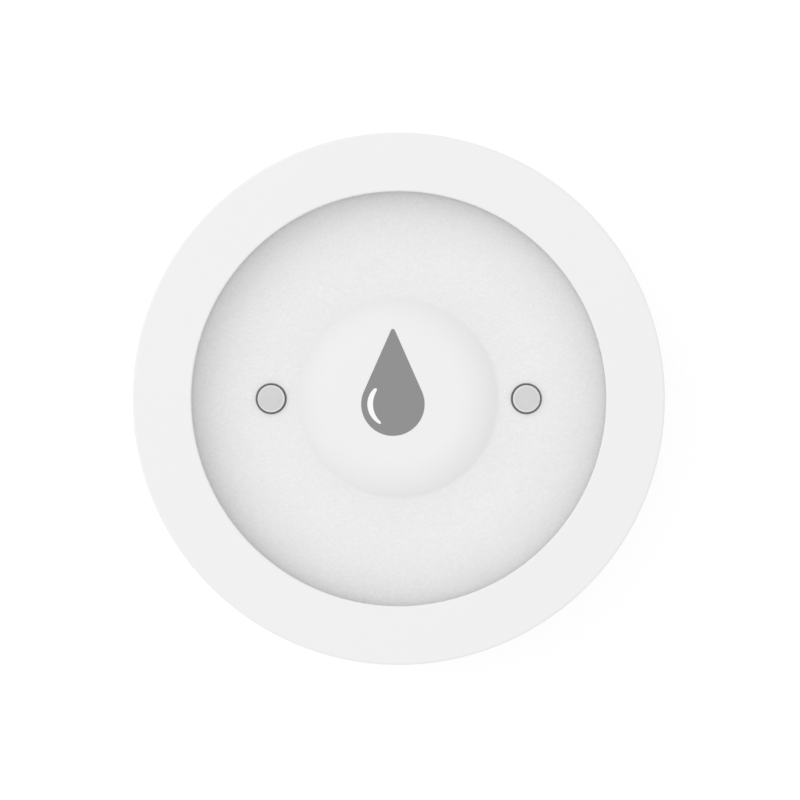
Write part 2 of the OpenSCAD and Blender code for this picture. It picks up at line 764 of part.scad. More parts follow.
module base_plate() color("whitesmoke") difference() {
  union() {
    rotate_extrude() difference() {
      area(0, base_z, case_r, base_top);
      corner_trim(case_r, base_z, base_round, 1, -1);
      corner_trim(case_r, base_top, seam_round, 1, 1);
    }
    disc(collar_r, base_top - over, ledge_top);
    difference() {
      ring(locating_r, locating_r - locating_rib_t, base_top - over, base_top + locating_rib_h);
      around(case_boss_circle, screw_angles)
        disc(case_boss_r + loose_gap, base_top - 2 * over, base_top + locating_rib_h + over);
    }
    for (side = [-1, 1]) translate([side * probe_x, 0, 0])
      disc(probe_boss_r, base_top - over, probe_nut_z);
    for (a = stiffener_angles) rotate([0, 0, a])
      translate([collar_r - over, -stiffener_t / 2, base_top - over])
        cube([locating_r - locating_rib_t - collar_r + 2 * over, stiffener_t, stiffener_h + over]);
    for (i = [0 : lug_count - 1]) rotate([0, 0, lug_start + i * lug_step]) {
      door_stop(lug_angle / 2 + stop_margin);
      door_stop(-door_turn - lug_angle / 2 - stop_margin - stop_width);
    }
  }
  disc(door_hole_r, base_z - over, ledge_z);
  disc(throat_r, base_z, plug_top + over);
  for (i = [0 : lug_count - 1]) rotate([0, 0, lug_start + i * lug_step - door_turn])
    arc(throat_r - over, entry_r, ledge_z - over, ledge_top + over,
      -lug_angle / 2 - entry_margin, lug_angle / 2 + entry_margin);
  around(foot_circle, between_angles) disc(foot_d / 2 + loose_gap, base_z - over, base_z + foot_pocket);
  around(case_boss_circle, screw_angles) {
    disc(screw_head_d / 2 + loose_gap, base_z - over, case_screw_z + screw_head_t);
    disc(case_screw_d / 2 + loose_gap, base_z, base_top + over);
  }
  for (side = [-1, 1]) translate([side * probe_x, 0, 0]) {
    disc(probe_head_d / 2 + loose_gap, base_z - over, probe_seat_z);
    disc(probe_seal_r + close_gap, base_z, probe_seal_z);
    disc(probe_shank_d / 2 + close_gap, base_z, probe_nut_z + over);
  }
  ring(case_seal_r + case_seal_w / 2 + close_gap, case_seal_r - case_seal_w / 2 - close_gap,
    base_top - case_seal_depth, base_top + over);
}

// Seal in the base plate's groove, under the end of the side wall
module case_seal() color("dimgray")
  ring(case_seal_r + case_seal_w / 2, case_seal_r - case_seal_w / 2, base_top - case_seal_depth, shell_z);

// Case screws, with their heads sunk in the base plate
case_screw_z = base_z + loose_gap;

module case_screws() color("silver") around(case_boss_circle, screw_angles)
  screw_up(case_screw_d, case_screw_l - screw_head_t, case_screw_z);

// Rubber feet in their pockets
module foot_pads() color("gray") around(foot_circle, between_angles) rotate_extrude() difference() {
  area(0, 0, foot_d / 2, base_z + foot_pocket);
  corner_trim(foot_d / 2, 0, foot_round, 1, -1);
}

// Floor probe: bevelled head just clear of the floor, shank up to its nut and spring
module floor_probe(side) color("silver") translate([side * probe_x, 0, 0]) rotate_extrude() polygon([
  [0, probe_lift],
  [probe_head_d / 2 - probe_bevel, probe_lift],
  [probe_head_d / 2, probe_lift + probe_bevel],
  [probe_head_d / 2, probe_seat_z],
  [probe_shank_d / 2, probe_seat_z],
  [probe_shank_d / 2, probe_nut_z + nut_t + shank_end],
  [0, probe_nut_z + nut_t + shank_end]
]);

module floor_probe_left() floor_probe(-1);
module floor_probe_right() floor_probe(1);

// Seal rings round the probe shanks
module probe_seals() color("dimgray") for (side = [-1, 1]) translate([side * probe_x, 0, 0])
  ring(probe_seal_r, probe_shank_d / 2 + close_gap, probe_seat_z, probe_seal_z);

module probe_nuts() color("goldenrod") for (side = [-1, 1]) translate([side * probe_x, 0, 0])
  hex_nut(probe_shank_d, probe_nut_z, probe_nut_z + nut_t);

module probe_springs() color("silver") for (side = [-1, 1]) translate([side * probe_x, 0, 0])
  helix_spring(probe_shank_d, probe_nut_z + nut_t, board_z);

// Battery door: flange with a coin slot and a seal groove, and a plug with bayonet lugs
module battery_door() color("whitesmoke") difference() {
  union() {
    disc(door_r, door_face, door_flange_top);
    disc(plug_r, door_face, plug_top);
    for (i = [0 : lug_count - 1]) rotate([0, 0, lug_start + i * lug_step])
      arc(plug_r - over, lug_r, lug_z, plug_top, -lug_angle / 2, lug_angle / 2);
  }
  translate([0, 0, door_face]) cube([slot_l, slot_w, 2 * slot_depth], center = true);
  disc(plug_r - plug_wall, plug_top - plug_hollow, plug_top + over);
  ring(door_seal_r + door_seal_d / 2 + close_gap, door_seal_r - door_seal_d / 2 - close_gap,
    door_flange_top - door_groove, door_flange_top + over);
}

// Round seal in the door's groove
module door_seal() color("dimgray") rotate_extrude()
  translate([door_seal_r, door_flange_top - door_groove + door_seal_d / 2]) circle(d = door_seal_d);

top_shell();
drip_dish();
button_dome();
button_guide();
button_plunger();
switch_base();
switch_cap();
drip_contact_left();
drip_contact_right();
contact_seals();
contact_nuts();
contact_springs();
circuit_board();
radio_module();
radio_shield();
board_chips();
status_led();
board_screws();
cell_holder();
coin_cell();
cell_spring();
cell_clip();
base_plate();
case_seal();
case_screws();
foot_pads();
floor_probe_left();
floor_probe_right();
probe_seals();
probe_nuts();
probe_springs();
battery_door();
door_seal();
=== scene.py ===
"""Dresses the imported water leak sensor: soft test button, drop sign, turned contacts, feet, springs and finishes."""
import json
import math

import bmesh
import bpy
from bpy.props import FloatProperty, FloatVectorProperty, IntProperty, PointerProperty
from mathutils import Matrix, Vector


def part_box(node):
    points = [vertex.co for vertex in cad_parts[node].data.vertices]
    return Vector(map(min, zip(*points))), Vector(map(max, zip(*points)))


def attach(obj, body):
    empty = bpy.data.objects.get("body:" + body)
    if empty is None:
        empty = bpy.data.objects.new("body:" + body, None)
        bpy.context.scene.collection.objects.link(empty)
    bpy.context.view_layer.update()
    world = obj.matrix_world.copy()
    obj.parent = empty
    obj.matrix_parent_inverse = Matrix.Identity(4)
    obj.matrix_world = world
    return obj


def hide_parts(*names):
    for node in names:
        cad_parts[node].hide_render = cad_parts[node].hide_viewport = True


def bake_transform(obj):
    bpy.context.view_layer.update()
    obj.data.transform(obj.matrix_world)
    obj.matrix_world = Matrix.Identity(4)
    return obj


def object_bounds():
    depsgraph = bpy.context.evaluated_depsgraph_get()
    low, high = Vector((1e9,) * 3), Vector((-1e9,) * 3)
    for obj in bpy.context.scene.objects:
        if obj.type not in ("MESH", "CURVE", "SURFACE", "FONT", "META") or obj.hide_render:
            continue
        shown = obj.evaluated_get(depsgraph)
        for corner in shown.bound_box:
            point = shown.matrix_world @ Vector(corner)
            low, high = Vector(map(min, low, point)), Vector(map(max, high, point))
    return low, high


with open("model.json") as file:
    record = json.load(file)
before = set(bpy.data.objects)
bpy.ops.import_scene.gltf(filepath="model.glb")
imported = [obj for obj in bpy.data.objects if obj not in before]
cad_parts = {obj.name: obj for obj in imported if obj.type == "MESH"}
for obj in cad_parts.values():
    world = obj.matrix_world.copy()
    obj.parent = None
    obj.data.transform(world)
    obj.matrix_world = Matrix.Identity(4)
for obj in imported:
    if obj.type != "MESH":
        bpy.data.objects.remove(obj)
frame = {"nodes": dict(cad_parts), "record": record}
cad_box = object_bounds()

bl_info = {
    "name": "Water Leak Sensor",
    "version": (1, 0, 0),
    "blender": (4, 5, 0),
    "location": "3D View > Sidebar > Leak Sensor",
    "description": "Makes the soft, printed and turned pieces of a leak sensor and finishes its solids",
    "category": "Object",
}

MM = 0.001
SHARE_NAME = "turned_share"  # attribute on a turned piece: each point's share of the radius
WELD = 1e-7                  # points of a turned piece that are closer than this become one
SHARP_ANGLE = 0.6            # edges of a turned piece that bend more than this, in radians, stay sharp
STRIP = 0.25 * MM            # width of the strips in a printed shape
CUT_SLACK = 0.001 * MM       # points that lie this close to a cut between strips count as on it
RIM_GAP = 0.002 * MM         # air between the dish floor and a soft rim that lies over it
TOOL_DEPTH = 0.002 * MM      # depth of the tool lines on metal


def length(name, description, default):
    """A length property in metres."""
    return FloatProperty(name=name, description=description, default=default, precision=5, unit="LENGTH")


def shade(name, description, default):
    """A colour property."""
    return FloatVectorProperty(
        name=name, description=description, default=default, size=3, min=0, max=1, subtype="COLOR")


class SensorSizes(bpy.types.PropertyGroup):
    """Sizes of the pieces that are made here."""
    dish_floor: length("Dish floor", "Height of the dish floor above the ground", 17.6 * MM)
    dish_under: length("Dish underside", "Height of the underside of the dish floor", 16.2 * MM)
    button_width: length("Button width", "Diameter of the soft button in the dish floor", 24.54 * MM)
    button_foot: length("Button foot", "Radius of the hollow curve where the button meets the dish floor", 0.6 * MM)
    button_rim: length("Button rim", "Height of the button's thin rim on the dish floor", 0.006 * MM)
    button_flat: length("Button flat", "Diameter of the button's flat top", 15 * MM)
    button_skin: length("Button skin", "Thickness of the button's top", 0.9 * MM)
    button_neck: length("Button neck", "Wall of the button's neck in the dish floor", 0.7 * MM)
    flange_round: length("Flange rounding", "Rounding of the button's flange under the dish", 0.1 * MM)
    sign_height: length("Sign height", "Height of the drop sign", 13.15 * MM)
    sign_width: length("Sign width", "Width of the drop sign", 7.79 * MM)
    sign_tip: length("Sign tip", "Radius of the drop's tip", 0.25 * MM)
    sign_left: length("Sign offset", "Offset of the drop to the left of the middle", 0.72 * MM)
    sign_down: length("Sign drop", "Distance of the drop's round end below the middle", 0.67 * MM)
    ink: length("Ink", "Height of the printed drop over the button", 0.02 * MM)
    glint_ink: length("Glint ink", "Height of the printed glint over the button", 0.032 * MM)
    contact_bevel: length("Contact bevel", "Width of the bevel round the contact heads", 0.2 * MM)
    contact_bevel_height: length("Contact bevel height", "Height of that bevel", 0.1 * MM)
    contact_edge: length("Contact edge", "Rounding of the contacts' edges", 0.04 * MM)
    contact_shank: length("Contact shank", "Diameter of the contact shanks", 2.2 * MM)
    seal_gap: length("Seal gap", "Air between a contact head and its seal", 0.03 * MM)
    seal_lip: length("Seal lip", "Reach of the contact seals over the dish floor", 0.09 * MM)
    seal_lip_height: length("Seal lip height", "Height of the seals' lips on the dish floor", 0.03 * MM)
    seal_hollow: length("Seal hollow", "Radius of the hollow between a seal and its lip", 0.06 * MM)
    seal_edge: length("Seal edge", "Rounding of a seal lip's edge", 0.01 * MM)
    probe_bevel: length("Probe bevel", "Bevel round the probe heads", 0.3 * MM)
    probe_edge: length("Probe edge", "Rounding of the probes' edges", 0.06 * MM)
    probe_shank: length("Probe shank", "Diameter of the probe shanks", 2.4 * MM)
    foot_width: length("Foot width", "Diameter of a rubber foot", 8 * MM)
    foot_round: length("Foot rounding", "Rounding of a foot's lower edge", 0.3 * MM)
    spring_wire: length("Spring wire", "Diameter of the spring wire", 0.36 * MM)
    spring_turns: FloatProperty(name="Spring turns", description="Turns of each spring", default=3, min=1)
    sides: IntProperty(name="Sides", description="Sides of a large turned piece", default=192, min=24, max=512)
    head_sides: IntProperty(name="Head sides", description="Sides of a contact or probe", default=96, min=24, max=512)
    foot_sides: IntProperty(name="Foot sides", description="Sides of a rubber foot", default=72, min=24, max=512)


class SensorColours(bpy.types.PropertyGroup):
    """Colours of the finishes that show."""
    shell: shade("Shell", "Moulded case", (0.88, 0.88, 0.88))
    dish: shade("Dish", "Grained dish", (0.87, 0.87, 0.87))
    button: shade("Button", "Silicone button", (0.878, 0.878, 0.878))
    sign: shade("Sign", "Grey ink of the drop", (0.272, 0.272, 0.272))
    glint: shade("Glint", "White ink of the glint", (0.96, 0.96, 0.96))
    steel: shade("Steel", "Turned contacts and probes", (0.66, 0.66, 0.66))
    seal: shade("Seals", "Dark rubber seals", (0.26, 0.26, 0.26))
    foot: shade("Feet", "Grey rubber feet", (0.4, 0.4, 0.4))


def colours():
    """The colours in this scene."""
    return bpy.context.scene.sensor_colours


def add(tree, kind, values=None, **settings):
    """Adds a node: settings are its own options, values are put in its sockets or linked to them."""
    made = tree.nodes.new(kind)
    for name, value in settings.items():
        setattr(made, name, value)
    for name, value in (values or {}).items():
        if isinstance(value, bpy.types.NodeSocket):
            tree.links.new(value, made.inputs[name])
        else:
            made.inputs[name].default_value = value
    return made


def maths(tree, operation, *terms):
    """One step of arithmetic on values."""
    return add(tree, "ShaderNodeMath", dict(enumerate(terms)), operation=operation).outputs[0]


def mixed(tree, share, first, second):
    """A colour between two others."""
    return add(tree, "ShaderNodeMix", {0: share, 6: first, 7: second}, data_type="RGBA").outputs[2]


def off_axis(tree, place):
    """Distance of a place from the Z axis."""
    spot = add(tree, "ShaderNodeSeparateXYZ", {0: place}).outputs
    flat = add(tree, "ShaderNodeCombineXYZ", {"X": spot["X"], "Y": spot["Y"]}).outputs[0]
    return add(tree, "ShaderNodeVectorMath", {0: flat}, operation="LENGTH").outputs["Value"]


def new_tree(name, kind, inputs, outputs):
    """A node group with named sockets: returns it, its inputs and its output node."""
    tree = bpy.data.node_groups.new(name, kind)
    for label, socket_type, default in inputs:
        socket = tree.interface.new_socket(label, in_out="INPUT", socket_type="NodeSocket" + socket_type)
        if default is not None:
            socket.default_value = default
    for label, socket_type in outputs:
        tree.interface.new_socket(label, in_out="OUTPUT", socket_type="NodeSocket" + socket_type)
    return tree, add(tree, "NodeGroupInput").outputs, add(tree, "NodeGroupOutput")


# Geometry node trees

def circle_copies_tree():
    """Copies of a shape, evenly round the Z axis, as one real mesh with its finish."""
    name = "Copies round the middle"
    if name in bpy.data.node_groups:
        return bpy.data.node_groups[name]
    tree, given, out = new_tree(name, "GeometryNodeTree", [
        ("Geometry", "Geometry", None), ("Copies", "Int", 1), ("Circle Radius", "Float", 0.0),
        ("First Angle", "Float", 0.0), ("Finish", "Material", None)], [("Geometry", "Geometry")])
    index = add(tree, "GeometryNodeInputIndex").outputs[0]
    step = maths(tree, "DIVIDE", math.tau, given["Copies"])
    angle = maths(tree, "MULTIPLY_ADD", index, step, given["First Angle"])
    place = add(tree, "ShaderNodeCombineXYZ", {
        "X": maths(tree, "MULTIPLY", maths(tree, "COSINE", angle), given["Circle Radius"]),
        "Y": maths(tree, "MULTIPLY", maths(tree, "SINE", angle), given["Circle Radius"])}).outputs[0]
    points = add(tree, "GeometryNodePoints", {"Count": given["Copies"], "Position": place}).outputs[0]
    placed = add(tree, "GeometryNodeInstanceOnPoints", {"Points": points, "Instance": given["Geometry"]}).outputs[0]
    real = add(tree, "GeometryNodeRealizeInstances", {"Geometry": placed}).outputs[0]
    done = add(tree, "GeometryNodeSetMaterial", {"Geometry": real, "Material": given["Finish"]}).outputs[0]
    tree.links.new(done, out.inputs["Geometry"])
    return tree


def copies_of(tree, given, shape):
    """The node in a tree that sets copies of a shape round the middle."""
    return add(tree, "GeometryNodeGroup", {
        "Geometry": shape, "Copies": given["Copies"], "Circle Radius": given["Circle Radius"],
        "First Angle": given["First Angle"], "Finish": given["Finish"]}, node_tree=circle_copies_tree()).outputs[0]


def turned_tree():
    """A half outline turned about its own axis, with each point's share of the radius kept for the tool marks."""
    name = "Turned piece"
    if name in bpy.data.node_groups:
        return bpy.data.node_groups[name]
    tree, given, out = new_tree(name, "GeometryNodeTree", [
        ("Outline", "Object", None), ("Sides", "Int", 64), ("Path Radius", "Float", MM),
        ("Sharp Angle", "Float", SHARP_ANGLE), ("Copies", "Int", 1), ("Circle Radius", "Float", 0.0),
        ("First Angle", "Float", 0.0), ("Finish", "Material", None)], [("Geometry", "Geometry")])
    path = add(tree, "GeometryNodeCurvePrimitiveCircle", {
        "Resolution": given["Sides"], "Radius": given["Path Radius"]}).outputs["Curve"]
    path = add(tree, "GeometryNodeSetCurveNormal", {"Curve": path}, mode="Z_UP").outputs[0]
    outline = add(tree, "GeometryNodeObjectInfo", {"Object": given["Outline"]}).outputs["Geometry"]
    swept = add(tree, "GeometryNodeCurveToMesh", {"Curve": path, "Profile Curve": outline}).outputs[0]
    closed = add(tree, "GeometryNodeMergeByDistance", {"Geometry": swept, "Distance": WELD}).outputs[0]
    radius = off_axis(tree, add(tree, "GeometryNodeInputPosition").outputs[0])
    widest = add(tree, "GeometryNodeAttributeStatistic", {"Geometry": closed, "Attribute": radius}).outputs["Max"]
    share = maths(tree, "DIVIDE", radius, widest)
    marked = add(tree, "GeometryNodeStoreNamedAttribute", {
        "Geometry": closed, "Name": SHARE_NAME, "Value": share}, data_type="FLOAT", domain="POINT").outputs[0]
    smooth = add(tree, "GeometryNodeSetShadeSmooth", {"Geometry": marked, "Shade Smooth": True}).outputs[0]
    bend = add(tree, "GeometryNodeInputMeshEdgeAngle").outputs["Unsigned Angle"]
    crease = add(tree, "FunctionNodeCompare", {0: bend, 1: given["Sharp Angle"]},
                 data_type="FLOAT", operation="GREATER_THAN").outputs[0]
    creased = add(tree, "GeometryNodeSetShadeSmooth", {
        "Geometry": smooth, "Selection": crease, "Shade Smooth": False}, domain="EDGE").outputs[0]
    tree.links.new(copies_of(tree, given, creased), out.inputs["Geometry"])
    return tree


def spring_tree():
    """A wound spring, copied round the middle."""
    name = "Wound spring"
    if name in bpy.data.node_groups:
        return bpy.data.node_groups[name]
    tree, given, out = new_tree(name, "GeometryNodeTree", [
        ("Turns", "Float", 3.0), ("Coil Radius", "Float", MM), ("Wire Radius", "Float", 0.2 * MM),
        ("Turn Steps", "Int", 40), ("Wire Sides", "Int", 12), ("Bottom", "Float", 0.0), ("Rise", "Float", MM),
        ("Copies", "Int", 1), ("Circle Radius", "Float", 0.0), ("First Angle", "Float", 0.0),
        ("Finish", "Material", None)], [("Geometry", "Geometry")])
    coil = add(tree, "GeometryNodeCurveSpiral", {
        "Resolution": given["Turn Steps"], "Rotations": given["Turns"], "Start Radius": given["Coil Radius"],
        "End Radius": given["Coil Radius"], "Height": given["Rise"]}).outputs[0]
    wire = add(tree, "GeometryNodeCurvePrimitiveCircle", {
        "Resolution": given["Wire Sides"], "Radius": given["Wire Radius"]}).outputs["Curve"]
    wound = add(tree, "GeometryNodeCurveToMesh", {
        "Curve": coil, "Profile Curve": wire, "Fill Caps": True}).outputs[0]
    lift = add(tree, "ShaderNodeCombineXYZ", {"Z": given["Bottom"]}).outputs[0]
    lifted = add(tree, "GeometryNodeTransform", {"Geometry": wound, "Translation": lift}).outputs[0]
    tree.links.new(copies_of(tree, given, lifted), out.inputs["Geometry"])
    return tree


# Meshes

def show(name, data):
    """An object for a mesh, curve, lamp or camera, in the scene."""
    made = bpy.data.objects.new(name, data)
    bpy.context.scene.collection.objects.link(made)
    return made


def made_by(tree, name, values):
    """Runs a geometry tree and keeps its result as a plain mesh object."""
    host = show(name, bpy.data.meshes.new(name))
    step = host.modifiers.new(tree.name, "NODES")
    step.node_group = tree
    for item in tree.interface.items_tree:
        if item.in_out == "INPUT" and item.name in values:
            step[item.identifier] = values[item.name]
    graph = bpy.context.evaluated_depsgraph_get()
    result = bpy.data.meshes.new_from_object(host.evaluated_get(graph), depsgraph=graph)
    if not result.polygons:
        raise RuntimeError(f"{tree.name} made nothing for {name}")
    host.modifiers.remove(step)
    empty = host.data
    host.data = result
    result.name = name
    bpy.data.meshes.remove(empty)
    return host


def arc(middle, radius, start, end, steps):
    """Points of an arc in degrees, both ends included."""
    turns = [math.radians(start + (end - start) * i / steps) for i in range(steps + 1)]
    return [(middle[0] + radius * math.cos(t), middle[1] + radius * math.sin(t)) for t in turns]


def eased(corners, steps):
    """A half outline from corners (radius, height, rounding), each corner rounded by its own radius."""
    points = []
    for i, (r, z, rounding) in enumerate(corners):
        if not rounding:
            points.append((r, z))
            continue
        before = (corners[i - 1][0] - r, corners[i - 1][1] - z)
        after = (corners[i + 1][0] - r, corners[i + 1][1] - z)
        before = [c / math.hypot(*before) for c in before]
        after = [c / math.hypot(*after) for c in after]
        half = math.acos(max(-1, min(1, before[0] * after[0] + before[1] * after[1]))) / 2
        back = rounding / math.tan(half)
        middle_way = (before[0] + after[0], before[1] + after[1])
        reach = rounding / math.sin(half) / math.hypot(*middle_way)
        middle = (r + middle_way[0] * reach, z + middle_way[1] * reach)
        start = (r + before[0] * back, z + before[1] * back)
        end = (r + after[0] * back, z + after[1] * back)
        first = math.atan2(start[1] - middle[1], start[0] - middle[0])
        sweep = math.atan2(end[1] - middle[1], end[0] - middle[0]) - first
        sweep = (sweep + math.pi) % math.tau - math.pi
        points += arc(middle, rounding, math.degrees(first), math.degrees(first + sweep), steps)
    return points


def turned(name, outline, finish_name, sides, copies=1, circle=0.0, first=0.0):
    """Turns a half outline of (radius, height), listed from the top of its axis outwards, down and back."""
    path_radius = MM
    curve = bpy.data.curves.new(name + "_outline", "CURVE")
    line = curve.splines.new("POLY")
    line.points.add(len(outline) - 1)
    for point, (r, z) in zip(line.points, outline):
        point.co = (r - path_radius, -z, 0, 1)
    holder = show(name + "_outline", curve)
    made = made_by(turned_tree(), name, {
        "Outline": holder, "Sides": sides, "Path Radius": path_radius, "Sharp Angle": SHARP_ANGLE, "Copies": copies,
        "Circle Radius": circle, "First Angle": first, "Finish": finish(finish_name)})
    bpy.data.objects.remove(holder)
    bpy.data.curves.remove(curve)
    return made


def put_in_order(parts, place):
    """Orders vertices or faces by their places, because an extrusion's order changes from run to run."""
    rank = {part: i for i, part in enumerate(sorted(parts, key=place))}
    parts.sort(key=rank.get)


def printed(name, outline, bottom, top, finish_name, sag):
    """A thin printed shape from its outline, in strips that sag with the surface under it."""
    form = bmesh.new()
    form.faces.new([form.verts.new((x, y, bottom)) for x, y in outline])
    low, high = min(y for _, y in outline), max(y for _, y in outline)
    strips = math.ceil((high - low) / STRIP)
    for i in range(1, strips):
        bmesh.ops.bisect_plane(form, geom=[*form.verts, *form.edges, *form.faces], dist=CUT_SLACK,
                               plane_co=(0, low + (high - low) * i / strips, 0), plane_no=(0, 1, 0))
    raised = bmesh.ops.extrude_face_region(form, geom=form.faces[:])["geom"]
    raised = [part for part in raised if isinstance(part, bmesh.types.BMVert)]
    bmesh.ops.translate(form, vec=(0, 0, top - bottom), verts=raised)
    for spot in form.verts:
        spot.co.z -= sag(math.hypot(spot.co.x, spot.co.y))
    bmesh.ops.recalc_face_normals(form, faces=form.faces)
    put_in_order(form.verts, lambda spot: spot.co[:])
    put_in_order(form.faces, lambda face: face.calc_center_median()[:])
    mesh = bpy.data.meshes.new(name)
    form.to_mesh(mesh)
    form.free()
    mesh.materials.append(finish(finish_name))
    return show(name, mesh)


def middle_x(node):
    """Middle of a node along X."""
    low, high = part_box(node)
    return (low.x + high.x) / 2


# Finishes

def grain_group():
    """Fine moulded grain: light and dark flecks, soft clouds and small bright specks."""
    name = "Moulded grain"
    if name in bpy.data.node_groups:
        return bpy.data.node_groups[name]
    tree, given, out = new_tree(name, "ShaderNodeTree", [
        ("Colour", "Color", (0.8, 0.8, 0.8, 1)), ("Roughness", "Float", 0.5), ("Grain Size", "Float", 0.2 * MM),
        ("Contrast", "Float", 0.03), ("Specks", "Float", 0.0)],
        [("Colour", "Color"), ("Roughness", "Float"), ("Height", "Float")])
    clouds_a_metre, specks_a_grain, speck_core, speck_rim = 140.0, 0.55, 0.03, 0.25
    fleck_share, cloud_share, roughness_share = 2.0, 0.5, 0.12
    spot = add(tree, "ShaderNodeTexCoord").outputs["Object"]
    fine = maths(tree, "DIVIDE", 1.0, given["Grain Size"])
    grain = add(tree, "ShaderNodeTexNoise", {
        "Vector": spot, "Scale": fine, "Detail": 2.0, "Roughness": 0.6}).outputs["Fac"]
    cloud = add(tree, "ShaderNodeTexNoise", {"Vector": spot, "Scale": clouds_a_metre, "Detail": 2.0}).outputs["Fac"]
    cell = add(tree, "ShaderNodeTexVoronoi", {
        "Vector": spot, "Scale": maths(tree, "MULTIPLY", fine, specks_a_grain)}).outputs["Distance"]
    speck = add(tree, "ShaderNodeMapRange", {
        "Value": cell, "From Min": speck_core, "From Max": speck_rim, "To Min": 1.0, "To Max": 0.0},
        interpolation_type="SMOOTHSTEP").outputs[0]
    speck = maths(tree, "MULTIPLY", speck, given["Specks"])
    fleck = maths(tree, "SUBTRACT", grain, 0.5)
    veil = maths(tree, "SUBTRACT", cloud, 0.5)
    change = maths(tree, "MULTIPLY_ADD", veil, cloud_share, maths(tree, "MULTIPLY", fleck, fleck_share))
    level = maths(tree, "ADD", maths(tree, "MULTIPLY_ADD", change, given["Contrast"], 1.0), speck)
    colour = add(tree, "ShaderNodeVectorMath", {0: given["Colour"], "Scale": level}, operation="SCALE").outputs[0]
    rough = maths(tree, "MULTIPLY_ADD", change, roughness_share, given["Roughness"])
    tree.links.new(colour, out.inputs["Colour"])
    tree.links.new(rough, out.inputs["Roughness"])
    tree.links.new(maths(tree, "ADD", grain, speck), out.inputs["Height"])
    return tree


def lines_group():
    """Fine tool lines on metal, with soft patches of tarnish."""
    name = "Tool lines"
    if name in bpy.data.node_groups:
        return bpy.data.node_groups[name]
    tree, given, out = new_tree(name, "ShaderNodeTree", [
        ("Lines", "Vector", None), ("Colour", "Color", (0.6, 0.6, 0.6, 1)), ("Roughness", "Float", 0.35),
        ("Contrast", "Float", 0.08)],
        [("Colour", "Color"), ("Roughness", "Float"), ("Height", "Float")])
    patches_a_metre, roughness_share = 700.0, 0.2
    spot = add(tree, "ShaderNodeTexCoord").outputs["Object"]
    line = add(tree, "ShaderNodeTexNoise", {
        "Vector": given["Lines"], "Scale": 1.0, "Detail": 3.0, "Roughness": 0.65}).outputs["Fac"]
    patch = add(tree, "ShaderNodeTexNoise", {"Vector": spot, "Scale": patches_a_metre, "Detail": 3.0}).outputs["Fac"]
    change = maths(tree, "ADD", maths(tree, "SUBTRACT", line, 0.5), maths(tree, "SUBTRACT", patch, 0.5))
    level = maths(tree, "MULTIPLY_ADD", change, given["Contrast"], 1.0)
    colour = add(tree, "ShaderNodeVectorMath", {0: given["Colour"], "Scale": level}, operation="SCALE").outputs[0]
    rough = maths(tree, "MULTIPLY_ADD", change, roughness_share, given["Roughness"])
    tree.links.new(colour, out.inputs["Colour"])
    tree.links.new(rough, out.inputs["Roughness"])
    tree.links.new(line, out.inputs["Height"])
    return tree


def painted_shade_group():
    """Painted shade: a grey darkening of the colour that thickens from a start radius to a round corner."""
    name = "Corner dust"
    if name in bpy.data.node_groups:
        return bpy.data.node_groups[name]
    steepness = {"Veil": 1.0, "Edge": 9.0, "Line": 26.0}
    tree, given, out = new_tree(name, "ShaderNodeTree", [
        ("Colour", "Color", (0.8, 0.8, 0.8, 1)), ("Place", "Vector", None), ("Shade Start Radius", "Float", 0.0),
        ("Corner Radius", "Float", MM), *((layer, "Float", 0.0) for layer in steepness)], [("Colour", "Color")])
    way = add(tree, "ShaderNodeMapRange", {
        "Value": off_axis(tree, given["Place"]), "From Min": given["Shade Start Radius"],
        "From Max": given["Corner Radius"], "To Min": 0.0, "To Max": 1.0}).outputs[0]
    level = 1.0
    # each layer darkens the colour more steeply towards the corner: painted shade, not dirt
    for layer, power in steepness.items():
        painted_dark = maths(tree, "MULTIPLY", maths(tree, "POWER", way, power), given[layer])
        level = maths(tree, "SUBTRACT", level, painted_dark)
    dimmed = add(tree, "ShaderNodeVectorMath", {0: given["Colour"], "Scale": level}, operation="SCALE").outputs[0]
    tree.links.new(dimmed, out.inputs["Colour"])
    return tree


def new_finish(name):
    """An empty material: returns it, its tree and its shader."""
    made = bpy.data.materials.new(name)
    made.use_nodes = True
    tree = made.node_tree
    return made, tree, tree.nodes["Principled BSDF"]


def feed(tree, shader, effect, depth):
    """Puts a group's colour, roughness and height on a shader."""
    tree.links.new(effect["Colour"], shader.inputs["Base Color"])
    tree.links.new(effect["Roughness"], shader.inputs["Roughness"])
    bump = add(tree, "ShaderNodeBump", {"Height": effect["Height"], "Strength": 1.0, "Distance": depth})
    tree.links.new(bump.outputs[0], shader.inputs["Normal"])


def moulded(name, colour, roughness, grain, contrast, depth, specks=0.0):
    """Moulded plastic or rubber."""
    made, tree, shader = new_finish(name)
    effect = add(tree, "ShaderNodeGroup", {
        "Colour": (*colour, 1), "Roughness": roughness, "Grain Size": grain, "Contrast": contrast,
        "Specks": specks}, node_tree=grain_group()).outputs
    feed(tree, shader, effect, depth)
    shader.inputs["Specular IOR Level"].default_value = 0.35
    return made


def paint_shade(made, shade_from, corner, veil, edge=0.0, line=0.0, pair=0.0):
    """Paints shade into a finish's colour from a start radius to a corner, round the middle or round a pair of spots
    along X.
    """
    tree = made.node_tree
    base = tree.nodes["Principled BSDF"].inputs["Base Color"]
    place = add(tree, "ShaderNodeTexCoord").outputs["Object"]
    if pair:
        place = add(tree, "ShaderNodeVectorMath", {0: place}, operation="ABSOLUTE").outputs[0]
        place = add(tree, "ShaderNodeVectorMath", {0: place, 1: (pair, 0, 0)}, operation="SUBTRACT").outputs[0]
    painted_dark = add(tree, "ShaderNodeGroup", {
        "Colour": base.links[0].from_socket, "Place": place, "Shade Start Radius": shade_from, "Corner Radius": corner,
        "Veil": veil, "Edge": edge, "Line": line}, node_tree=painted_shade_group()).outputs
    tree.links.new(painted_dark["Colour"], base)
    return made


